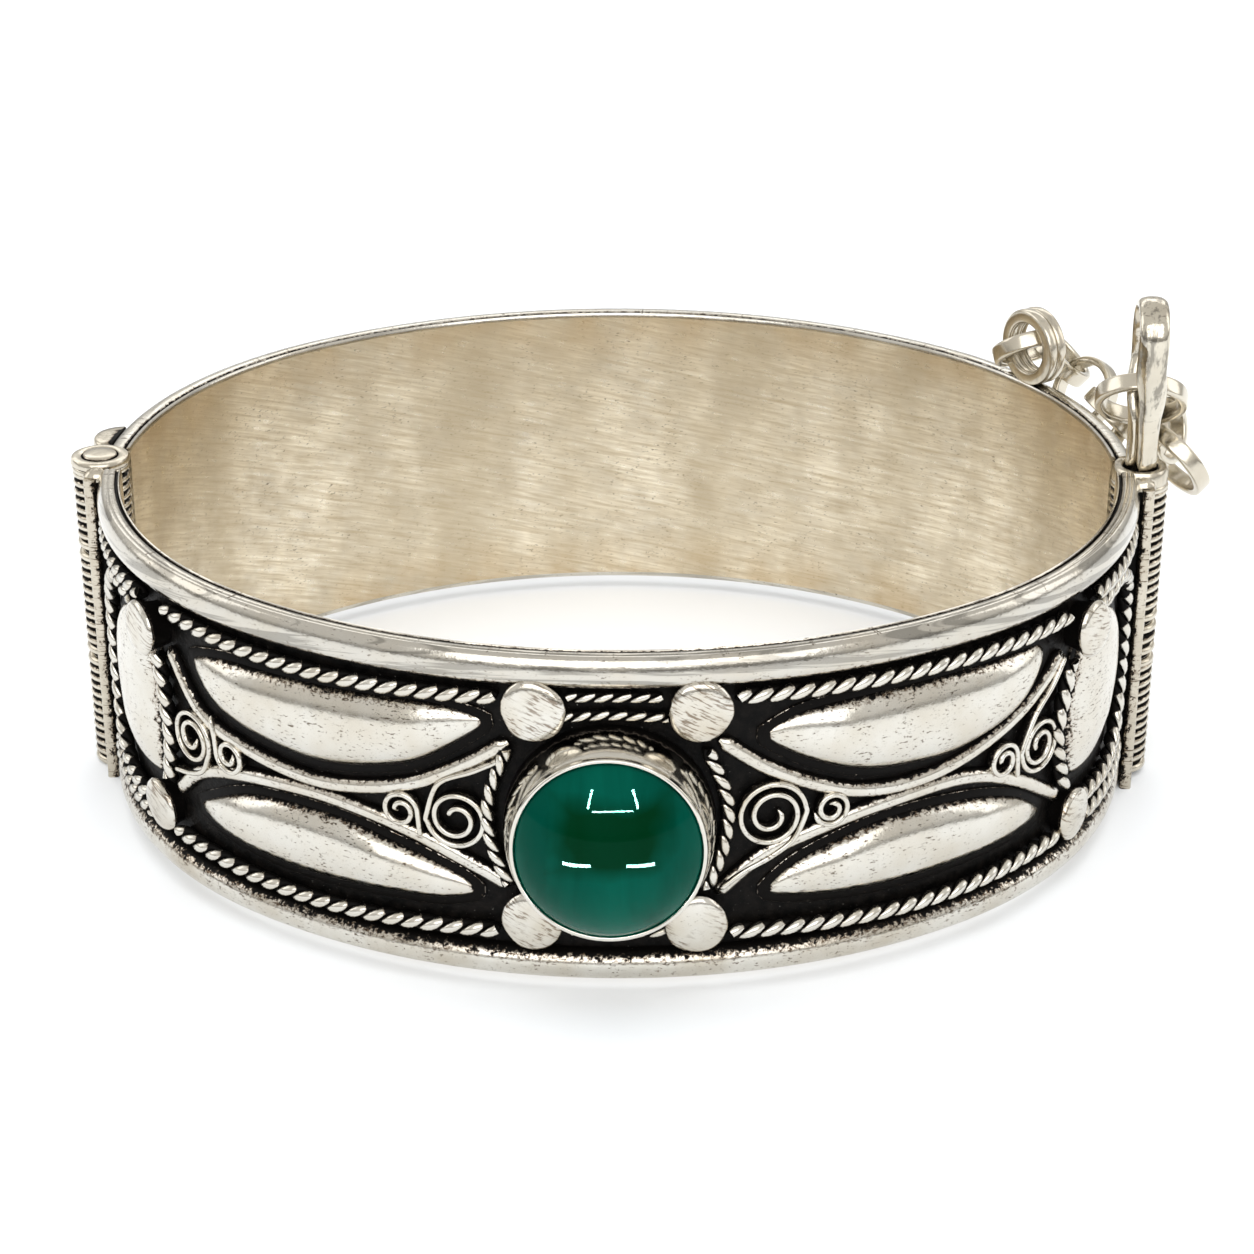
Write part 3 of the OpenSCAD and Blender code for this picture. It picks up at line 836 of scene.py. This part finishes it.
def back_ends(materials, rng):
    """The back half's knuckles, the bead beside the hinge and the chain's anchor."""
    form = Form()
    for side, low, high in BACK_KNUCKLES:
        coil(form, side * PIN_X, low, high)
        post(form, side, BACK_POST_AT, (low, high), BACK_POST_HALF, 0.35, rng, 0.02, 6)
    form.lathe((-PIN_X, 0, 0), UPRIGHT, WASHER_OUTLINE, 56)
    bead(form)
    anchor(form)
    form.build("back_knuckles", materials["end"], "back", "back_half")


def back_half(materials):
    """The plain half: satin sheet with a rim at each edge."""
    sheet, rims = Form(), Form()
    sheet.wall(0, behind=0.9, gap=0.3, ends=BACK_ENDS, count=14)
    sheet.build("back_half_sheet", materials["inside"], "back", "back_half")
    for turned, edge in ((1, BAND_H), (-1, 0)):
        rims.along_band(np.array(BACK_RIM_OUTLINE) * [1, turned, 1] + [0, edge, 0], BACK_ENDS)
    rims.build("back_rims", materials["back_rim"], "back", "back_half")


def hinge_pin(materials):
    form = Form()
    form.lathe((-PIN_X, 0, 0), UPRIGHT, HINGE_PIN_OUTLINE, 40)
    form.build("hinge_pin_turned", materials["chain"], "back", "hinge_pin")


def strip_path():
    """The clasp pin's middle line: up one leg, round the eye and down the other leg."""
    eye_way, legs_way = heading(EYE_DEG), heading(LEGS_DEG)
    middle, angles = np.array([PIN_X, 0, EYE_Z]), np.radians(np.linspace(*EYE_DEGREES, 40))
    eye = [middle + EYE_R * (math.cos(a) * eye_way + math.sin(a) * UPRIGHT) for a in angles]
    legs = []
    for sign in (1, -1):
        leg = []
        for z, reach in LEG_LINE:
            share = np.clip((LEGS_TOP - z) / (LEGS_TOP - LEGS_TURNED), 0, 1)
            way = unit(eye_way * (1 - share) + legs_way * share)
            leg.append(np.array([PIN_X, 0, z]) + sign * reach * way)
        legs.append(leg)
    return smooth_path(np.array(legs[0][::-1] + eye + legs[1]), 0.22)


def clasp_pin(materials):
    """A rounded strip bent to a long eye; its two legs lie together and go down into the clasp."""
    form = Form()
    path = strip_path()
    z = path[:, 2]
    centre = np.array([PIN_X, 0, 0]) + np.outer(np.minimum(z, EYE_Z), UPRIGHT)
    up = unit(path - centre + 1e-6)
    narrow = STRIP_NARROW + (1 - STRIP_NARROW) * fade(z, LEGS_TOP, LEGS_TURNED)
    section = oval_section(*STRIP_HALF, 24, 2.2)[None]
    section = section * np.stack([np.ones_like(narrow), narrow], -1)[:, None]
    dark = fade(section[..., 0], -STRIP_HALF[0], STRIP_BARE) * fade(z, *SEAM_LEVELS)[:, None]
    form.sweep(path, up, section, dark)
    form.build("clasp_pin_strip", materials["pin"], "back", "clasp_pin")


def links(materials):
    """The chain's flat rings, each where its solid is."""
    section = oval_section(*LINK_HALF, 28, 5.5)
    for number in range(1, LINKS + 1):
        node = f"link_{number}"
        points = np.array([v.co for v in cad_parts[node].data.vertices]) / MM
        centre = (points.min(0) + points.max(0)) / 2
        axis = np.linalg.svd(points - centre, full_matrices=False)[2][2]
        flat = points - centre - np.outer((points - centre) @ axis, axis)
        reach = np.linalg.norm(flat, axis=1)
        form = Form()
        ring(form, centre, axis, (reach.min() + reach.max()) / 2, section, count=96)
        form.build(f"chain_{node}", materials["chain"], "back", node)


# materials


class Nodes:
    """A material's or world's node tree with short ways to add and join nodes."""

    def __init__(self, owner, output="Object", scale=1 / MM):
        owner.use_nodes = True
        self.owner, self.tree = owner, owner.node_tree
        place = self.new("ShaderNodeTexCoord", {}).outputs[output]
        scaled = self.new("ShaderNodeVectorMath", {0: place, "Scale": scale}, operation="SCALE")
        self.place = scaled.outputs[0]

    def put(self, socket, value):
        if isinstance(value, bpy.types.NodeSocket):
            self.tree.links.new(value, socket)
        else:
            socket.default_value = value

    def new(self, kind, inputs, **settings):
        """A new node, first its settings made, then its inputs joined or set."""
        node = self.tree.nodes.new(kind)
        for key, value in settings.items():
            setattr(node, key, value)
        for key, value in inputs.items():
            self.put(node.inputs[key], value)
        return node

    def surface(self, inputs):
        """The finished material, the inputs of its shader joined or set."""
        for key, value in inputs.items():
            self.put(self.tree.nodes["Principled BSDF"].inputs[key], value)
        return self.owner

    def math(self, operation, a, b=0, c=0):
        return self.new("ShaderNodeMath", {0: a, 1: b, 2: c}, operation=operation).outputs[0]

    def split(self):
        """The three coordinates, in millimetres in a material."""
        return self.new("ShaderNodeSeparateXYZ", {0: self.place}).outputs[:3]

    def stretched(self, scale, turn=(0, 0, 0)):
        values = {"Vector": self.place, "Scale": scale, "Rotation": turn}
        return self.new("ShaderNodeMapping", values).outputs[0]

    def run_and(self, across, stretch_run, stretch_across):
        """Coordinates along the band and across it, for streaks."""
        x, y, _ = self.split()
        run = self.math("MULTIPLY", self.math("ARCTAN2", y, x), BAND_REACH * stretch_run)
        values = {0: run, 1: self.math("MULTIPLY", across, stretch_across)}
        return self.new("ShaderNodeCombineXYZ", values).outputs[0]

    def around(self, stretch_run, stretch_h, slant=(0, 0)):
        """Coordinates along the band and up it, which may slant as x and y change."""
        x, y, z = self.split()
        across = self.math("MULTIPLY_ADD", y, slant[1], self.math("MULTIPLY_ADD", x, slant[0], z))
        return self.run_and(across, stretch_run, stretch_h)

    def over_edge(self, stretch_run, stretch_off):
        """Coordinates along the band and outwards over its edge."""
        x, y, z = self.split()
        reach = self.math("SQRT", self.math("MULTIPLY_ADD", y, y, self.math("MULTIPLY", x, x)))
        return self.run_and(self.math("ADD", reach, z), stretch_run, stretch_off)

    def noise(self, scale, detail=3, rough=0.55, vector=None, distortion=0):
        """Noise with scale features in a millimetre, or as many as the vector's stretch gives."""
        values = {"Scale": scale, "Detail": detail, "Roughness": rough, "Distortion": distortion}
        return self.new("ShaderNodeTexNoise", {"Vector": vector or self.place, **values}).outputs["Fac"]

    def range(self, value, low, high, to_low=0, to_high=1):
        """A value between low and high, moved to the same place between to_low and to_high."""
        values = {"Value": value, "From Min": low, "From Max": high, "To Min": to_low, "To Max": to_high}
        return self.new("ShaderNodeMapRange", values).outputs["Result"]

    def mix(self, factor, a, b):
        """Mixes two colours."""
        node = self.new("ShaderNodeMix", {"Factor": factor}, data_type="RGBA")
        for key, value in (("A", a), ("B", b)):
            socket = [i for i in node.inputs if i.name == key and i.type == "RGBA"][0]
            self.put(socket, value if isinstance(value, bpy.types.NodeSocket) else (*value, 1))
        return [o for o in node.outputs if o.type == "RGBA"][0]

    def attribute(self, name):
        return self.new("ShaderNodeAttribute", {}, attribute_name=name).outputs["Fac"]

    def bump(self, height, strength, distance):
        values = {"Height": height, "Strength": strength, "Distance": distance * MM}
        return self.new("ShaderNodeBump", values).outputs["Normal"]


def pitted(n, colour, worn, pits):
    """Small dark pits, a little longer along the band than across it."""
    speck = n.noise(1, 3, 0.75, n.around(*PIT_GRAIN))
    limit = n.range(n.noise(0.6, 2), 0.35, 0.65, PIT_LIMIT - PIT_FEW * pits, PIT_LIMIT - PIT_MANY * pits)
    limit = n.math("MULTIPLY_ADD", worn, -PIT_DARK, limit)
    share = n.range(n.math("SUBTRACT", speck, limit), 0, 0.03, 0, min(pits, 1) * 0.9)
    return n.mix(share, colour, PIT)


def scratched(n, colour, share):
    """Short brown scratches, here and there."""
    scratch = n.range(n.noise(1, 3, 0.65, n.around(*SCRATCH_GRAIN, SCRATCH_SLANT)), 0.52, 0.58, 0, share)
    scratch = n.math("MULTIPLY", scratch, n.range(n.noise(0.5, 2), 0.38, 0.55))
    return n.mix(scratch, colour, SCRATCH)


def reflection_patched(n, colour, share):
    """Upright dark patches of painted reflection, as where silver mirrors something dark."""
    reflection_patch = n.noise(1, 4, 0.7, n.stretched(DARK_REFLECTION_GRAIN))
    return n.mix(n.range(reflection_patch, 0.50, 0.60, 0, share), colour, DARK_REFLECTION_PATCH)


def reflection_lined(n, colour, share):
    """Thin dark lines of painted reflection along a rim."""
    line = n.noise(1, 3, 0.6, n.over_edge(*REFLECTION_LINE_GRAIN))
    return n.mix(n.range(line, 0.5, 0.56, 0, share), colour, REFLECTION_LINE)


def brushed_and_shaded(n, colour, streak, share):
    """Brush strokes, broad upright bands of painted shade, and a stain towards both edges."""
    _, _, z = n.split()
    # painted shade: broad upright bands standing in for the inside's uneven reflection
    shade = n.noise(1, 2, 0.5, n.around(*PAINTED_SHADE_GRAIN))
    colour = n.mix(n.range(streak, 0.34, 0.70, 0, share), colour, STREAK)
    colour = n.mix(n.range(shade, 0.38, 0.62, 0, 0.6), colour, PAINTED_SHADE_BAND)
    away = n.math("ABSOLUTE", n.math("SUBTRACT", z, FOOT + BAND_H / 2))
    stain = n.math("MULTIPLY", n.range(away, 6, 9.3, 0, 0.55), n.range(n.noise(0.3, 3), 0.35, 0.6))
    return n.mix(stain, colour, EDGE_STAIN)


def silver(
    name, rough=0.2, pits=0.5, tone=0.5, ragged=0.5, grain=0.25, brush=0, strokes=0, reflection_patches=0,
    lines=0, colours=(BRIGHT, WARM),
):
    """Worn silver: a warm bright metal with pits, blackened where the points say it lies deep. Some uses also
    get painted dark reflections or bands of painted shade.
    """
    n = Nodes(bpy.data.materials.new(name))
    worn = n.attribute("dark")
    colour = n.mix(n.range(n.noise(0.35, 3), 0.35, 0.7, 0, tone), *colours)
    colour = pitted(n, colour, worn, pits)
    roughness = n.range(n.noise(1.2, 2), 0.3, 0.7, rough * 0.75, rough * 1.3)
    height = n.noise(2, 3, 0.65)
    # scratches are wear; the dark patches and rim lines are painted reflections
    for finish, share in ((scratched, strokes), (reflection_patched, reflection_patches), (reflection_lined, lines)):
        if share:
            colour = finish(n, colour, share)
    if brush:
        streak = n.noise(1, 3, 0.6, n.around(*STREAK_GRAIN, BRUSH_SLANT), 0.2)
        colour = brushed_and_shaded(n, colour, streak, brush)
        height = n.noise(1, 2, 0.6, n.around(*STROKE_GRAIN, BRUSH_SLANT))
        roughness = n.math("ADD", roughness, n.range(streak, 0.3, 0.7, -0.06, 0.08))
    ragged_edge = n.math("MULTIPLY", n.math("SUBTRACT", n.noise(3.2, 4, 0.75), 0.5), ragged * 2.6)
    depth = n.math("ADD", ragged_edge, worn)
    brown, black = n.range(depth, 0.26, 0.54, 0, 0.7), n.range(depth, 0.48, 0.58)
    return n.surface({
        "Base Color": n.mix(black, n.mix(brown, colour, RUST), BLACK),
        "Metallic": n.range(black, 0, 1, 1, 0),
        "Roughness": n.math("MULTIPLY_ADD", black, 0.25, roughness),
        "Normal": n.bump(height, grain, 0.06),
        "Specular IOR Level": 0.06,
    })


# the dark patches and rim lines below are painted reflections, and brush also lays bands of painted shade
SILVERS = {
    "rim": dict(rough=0.15, pits=0.8, ragged=0.7, lines=0.6, colours=(SOFT, WARM)),
    "low_rim": dict(pits=1, tone=0.7, ragged=0.9, colours=(BRIGHT, DULL)),
    "back_rim": dict(rough=0.17, pits=0.7, tone=0.6, ragged=0.8, lines=0.35),
    "leaf": dict(rough=0.19, pits=1, tone=0.6, ragged=0.8),
    "shot": dict(rough=0.16, pits=0.6, tone=0.9, ragged=0.6, strokes=0.75),
    "wire": dict(pits=0.9, tone=0.6, ragged=1),
    "rope": dict(pits=0.2, tone=0.6, ragged=0.4),
    "cup": dict(rough=0.12, pits=0.2, tone=0.3, ragged=0.4, grain=0.12),
    "end": dict(tone=0.8, ragged=0.45, reflection_patches=0.15, colours=(GOLDEN, WARM)),
    "bar": dict(pits=1, tone=0.8, ragged=1.2, colours=(CREAM, DULL)),
    "inside": dict(
        rough=0.36, pits=0.85, tone=0.7, ragged=0.6, grain=0.13, brush=0.8, colours=(INSIDE, WARM),
    ),
    "chain": dict(pits=0.05, tone=0.9, ragged=0.3, grain=0.15, colours=(GOLDEN, WARM)),
    "pin": dict(rough=0.12, pits=0.6, tone=0.8, reflection_patches=0.6, colours=(GOLDEN, WARM)),
}


def blackened(name):
    """The blackened ground, with a few specks where the metal shows."""
    n = Nodes(bpy.data.materials.new(name))
    bare = n.range(n.noise(6, 4, 0.7), 0.68, 0.76, 0, 0.5)
    ground = n.mix(n.range(n.noise(1.5, 3), 0.4, 0.7), *GROUND)
    return n.surface({
        "Base Color": n.mix(bare, ground, BRIGHT),
        "Metallic": bare,
        "Roughness": 0.45,
        "Normal": n.bump(n.noise(2.2, 3, 0.65), 0.6, 0.12),
        "Specular IOR Level": 0.08,
    })


def green_stone(name):
    """Polished banded stone, deep green, with a dark reflection painted in its middle."""
    n = Nodes(bpy.data.materials.new(name))
    band = n.noise(1, 4, 0.5, n.stretched(STONE_GRAIN, STONE_TURN), 0.4)
    colour = n.mix(n.range(band, 0.38, 0.66), *STONE_GREENS)
    x, _, z = n.split()
    # painted dark reflection: a soft rounded patch about the stone's middle, its edge wandering
    across, upward = (
        n.math("MULTIPLY", n.math("ABSOLUTE", n.math("SUBTRACT", place, middle)), 1 / half)
        for place, middle, half in zip((x, z), STONE_REFLECTION_AT, STONE_REFLECTION_HALF)
    )
    wander = n.math("MULTIPLY", n.math("SUBTRACT", n.noise(0.35, 2), 0.5), 0.9)
    stone_reflection = n.math("ADD", n.math("MAXIMUM", across, upward), wander)
    return n.surface({
        "Base Color": n.mix(n.range(stone_reflection, 1.3, 0.75, 0, 0.85), colour, STONE_REFLECTION_DARK),
        "Roughness": 0.03,
        "IOR": 1.33,
        "Specular IOR Level": 0.14,
        "Specular Tint": STONE_SHINE,
    })


def floor_material():
    n = Nodes(bpy.data.materials.new("pale_floor"))
    tint = n.mix(n.noise(0.01, 2), *FLOOR_TINTS)
    return n.surface({"Base Color": tint, "Roughness": 0.6, "Specular IOR Level": 0.15})


# stage


def aimed(name, data, place, way):
    """A lamp or camera at a place, looking along way."""
    thing = bpy.data.objects.new(name, data)
    bpy.context.scene.collection.objects.link(thing)
    thing.location = Vector(place) * MM
    thing.rotation_mode = "QUATERNION"
    thing.rotation_quaternion = Vector(way).to_track_quat("-Z", "Y")
    return thing


def panel(name, place, target, width, height, radiance, seen="both"):
    """A soft light of even radiance, seen by both fill and shine or by one of them."""
    data = bpy.data.lights.new(name, "AREA")
    data.shape = "RECTANGLE"
    data.size, data.size_y = width * MM, height * MM
    data.energy = radiance * math.pi * data.size * data.size_y
    lamp = aimed(name, data, place, np.subtract(target, place))
    lamp.visible_camera = False
    lamp.visible_diffuse = seen != "shine"
    lamp.visible_glossy = seen != "fill"
    return lamp


def only_for(lamp, piece, exclude=False):
    """Keeps a lamp's light to one piece, or off it."""
    group = bpy.data.collections.new(f"{lamp.name}_receivers")
    group.objects.link(piece)
    if exclude:
        group.collection_objects[0].light_linking.link_state = "EXCLUDE"
    lamp.light_linking.receiver_collection = group


def toward(azimuth, elevation, distance=1, origin=(0, 0, 0)):
    """A place seen from origin, its azimuth 0 in front and growing to the right."""
    a, e = math.radians(azimuth), math.radians(elevation)
    way = np.array([math.sin(a) * math.cos(e), -math.cos(a) * math.cos(e), math.sin(e)])
    return origin + distance * way


def room():
    """A pale room that is darker near the horizon, so that silver has something dark to mirror."""
    world = bpy.data.worlds.new("room")
    bpy.context.scene.world = world
    n = Nodes(world, "Generated", 1)
    _, y, z = n.split()
    levels = []
    for stops in ROOM_LEVELS:
        ramp = n.new("ShaderNodeValToRGB", {"Fac": z})
        while len(ramp.color_ramp.elements) < len(stops):
            ramp.color_ramp.elements.new(0.5)
        for element, (at, level) in zip(ramp.color_ramp.elements, stops):
            element.position = at
            element.color = (*(level * part for part in ROOM_TINT), 1)
        levels.append(ramp.outputs["Color"])
    n.put(n.tree.nodes["Background"].inputs["Color"], n.mix(n.range(y, -ROOM_TURN, ROOM_TURN), *levels))


def studio(gem):
    """Floor, room and soft panels; the stone has its own thin lights, whose shapes it mirrors."""
    bpy.ops.mesh.primitive_grid_add(x_subdivisions=FLOOR_PARTS, y_subdivisions=FLOOR_PARTS, size=FLOOR_SIZE)
    floor = bpy.context.object
    floor.name = "floor"
    floor.data.materials.append(floor_material())
    room()
    middle = (0, 0, BAND_H / 2)
    for name, place, width, height, radiance in SOFTBOXES:
        only_for(panel(name, place, middle, width, height, radiance), gem, exclude=True)
    name, place, width, height, radiance = FLOOR_FILL
    panel(name, place, middle, width, height, radiance, seen="fill")
    for name, azimuth, elevation, distance, size in GEM_LIGHTS:
        place = toward(azimuth, elevation, distance, GEM_FACE)
        only_for(panel(name, place, GEM_FACE, *size, GEM_LIGHT_RADIANCE, seen="shine"), gem)


def camera():
    data = bpy.data.cameras.new("camera")
    data.lens = CAMERA_LENS
    data.sensor_width = CAMERA_SENSOR
    data.clip_start = CAMERA_NEAR
    bpy.context.scene.camera = aimed("camera", data, CAMERA_AT, -toward(CAMERA_TURN, CAMERA_PITCH))


def finishes():
    """The materials by use."""
    made = {use: silver(f"{use}_silver", **settings) for use, settings in SILVERS.items()}
    made["field"] = blackened("black_ground")
    made["stone"] = green_stone("polished_green_stone")
    return made


def bracelet():
    """Every piece of the bracelet; gives back the stone, which has lights of its own."""
    materials = finishes()
    for piece in (front_sheet, front_rims, front_leaves, front_shot, front_wires, front_ropes, cup):
        piece(materials)
    rng = np.random.default_rng(SEED + 1)
    front_ends(materials, rng)
    back_ends(materials, rng)
    for piece in (back_half, hinge_pin, clasp_pin, links):
        piece(materials)
    return stone(materials)


studio(bracelet())
camera()
view = bpy.context.scene.view_settings
view.view_transform = "Standard"
view.look = "None"
